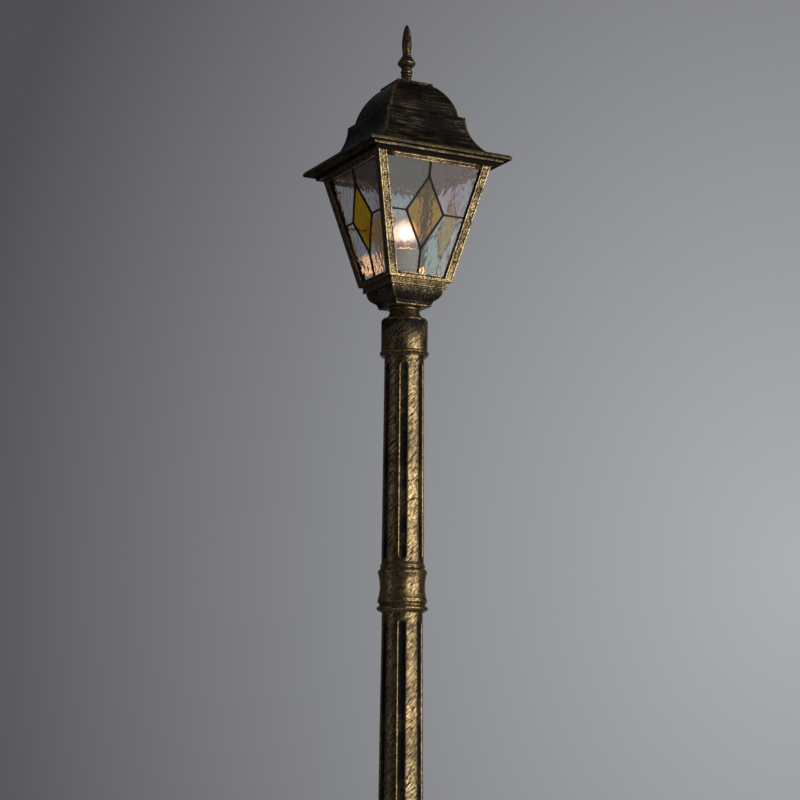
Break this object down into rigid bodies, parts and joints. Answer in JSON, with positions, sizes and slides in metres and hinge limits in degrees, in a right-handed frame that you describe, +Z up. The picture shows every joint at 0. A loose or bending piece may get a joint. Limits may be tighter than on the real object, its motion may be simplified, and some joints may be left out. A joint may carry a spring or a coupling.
{
  "type": "lantern floor lamp",
  "caption": "Tall post lamp with a square leaded-glass lantern, a hipped curved roof with a finial, fluted tubes joined by turned rings and a round bolt-down bell base.",
  "frame": {"origin": "centre of the base's underside, on the ground", "axes": "+Z up the post; -Y towards the front pane; +X to the right as seen from the front"},
  "size_m": [0.22, 0.22, 2.1998],
  "materials": {
    "patinated_casting": "black satin paint, dry-brushed by hand with dull gold",
    "lead": "blackened lead, matte",
    "clear_glass": "clear, hand-drawn and wavy",
    "amber_glass": "amber, wavy",
    "zinc_steel": "zinc plated",
    "dark_screw": "blackened steel",
    "brass": "plain",
    "holder_ceramic": "satin",
    "bulb_glass": "clear",
    "bulb_cap_metal": "satin",
    "glowing_wire": "glowing",
    "cable_rubber": "matte",
    "terminal_plastic": "satin"
  },
  "bodies": {
    "post": {"base_casting": "patinated_casting", "lower_ring": "patinated_casting", "lower_tube": "patinated_casting", "middle_ring": "patinated_casting", "middle_tube": "patinated_casting", "upper_ring": "patinated_casting", "upper_tube": "patinated_casting", "lantern_collar": "patinated_casting", "collar_grub_screws": "zinc_steel", "lantern_cup": "patinated_casting", "cup_screws": "zinc_steel", "lantern_frame": "patinated_casting", "pane_clips": "brass", "clip_screws": "zinc_steel", "came_front": "lead", "came_right": "lead", "came_back": "lead", "came_left": "lead", "clear_glass_front": "clear_glass", "clear_glass_right": "clear_glass", "clear_glass_back": "clear_glass", "clear_glass_left": "clear_glass", "amber_glass_front": "amber_glass", "amber_glass_right": "amber_glass", "amber_glass_back": "amber_glass", "amber_glass_left": "amber_glass", "threaded_stem": "zinc_steel", "stem_nuts": "zinc_steel", "stem_spacer": "zinc_steel", "holder_body": "holder_ceramic", "holder_shell": "brass", "holder_contact": "brass", "post_cable": "cable_rubber", "terminal_block": "terminal_plastic", "terminal_screws": "brass", "terminal_bracket": "zinc_steel", "bracket_screws": "zinc_steel", "earth_screw": "brass"},
    "roof": {"roof_shell": "patinated_casting", "finial": "patinated_casting", "finial_nut": "zinc_steel", "finial_washer": "zinc_steel"},
    "bulb": {"bulb_glass": "bulb_glass", "bulb_cap": "bulb_cap_metal", "bulb_filament": "glowing_wire"},
    "screw_left": {"roof_screw_left": "dark_screw"},
    "screw_right": {"roof_screw_right": "dark_screw"}
  },
  "joints": [
    {"name": "roof_lift", "type": "slide", "parent": "post", "child": "roof", "axis": [0, 0, 1], "range_m": [0, 0.15]},
    {"name": "bulb_turn", "type": "hinge", "parent": "post", "child": "bulb", "pos_m": [0, 0, 1.85], "axis": [0, 0, 1], "continuous": true},
    {"name": "screw_left_turn", "type": "hinge", "parent": "roof", "child": "screw_left", "pos_m": [-0.095, 0, 1.9816], "axis": [-1, 0, 0], "continuous": true},
    {"name": "screw_right_turn", "type": "hinge", "parent": "roof", "child": "screw_right", "pos_m": [0.095, 0, 1.9816], "axis": [1, 0, 0], "continuous": true}
  ]
}
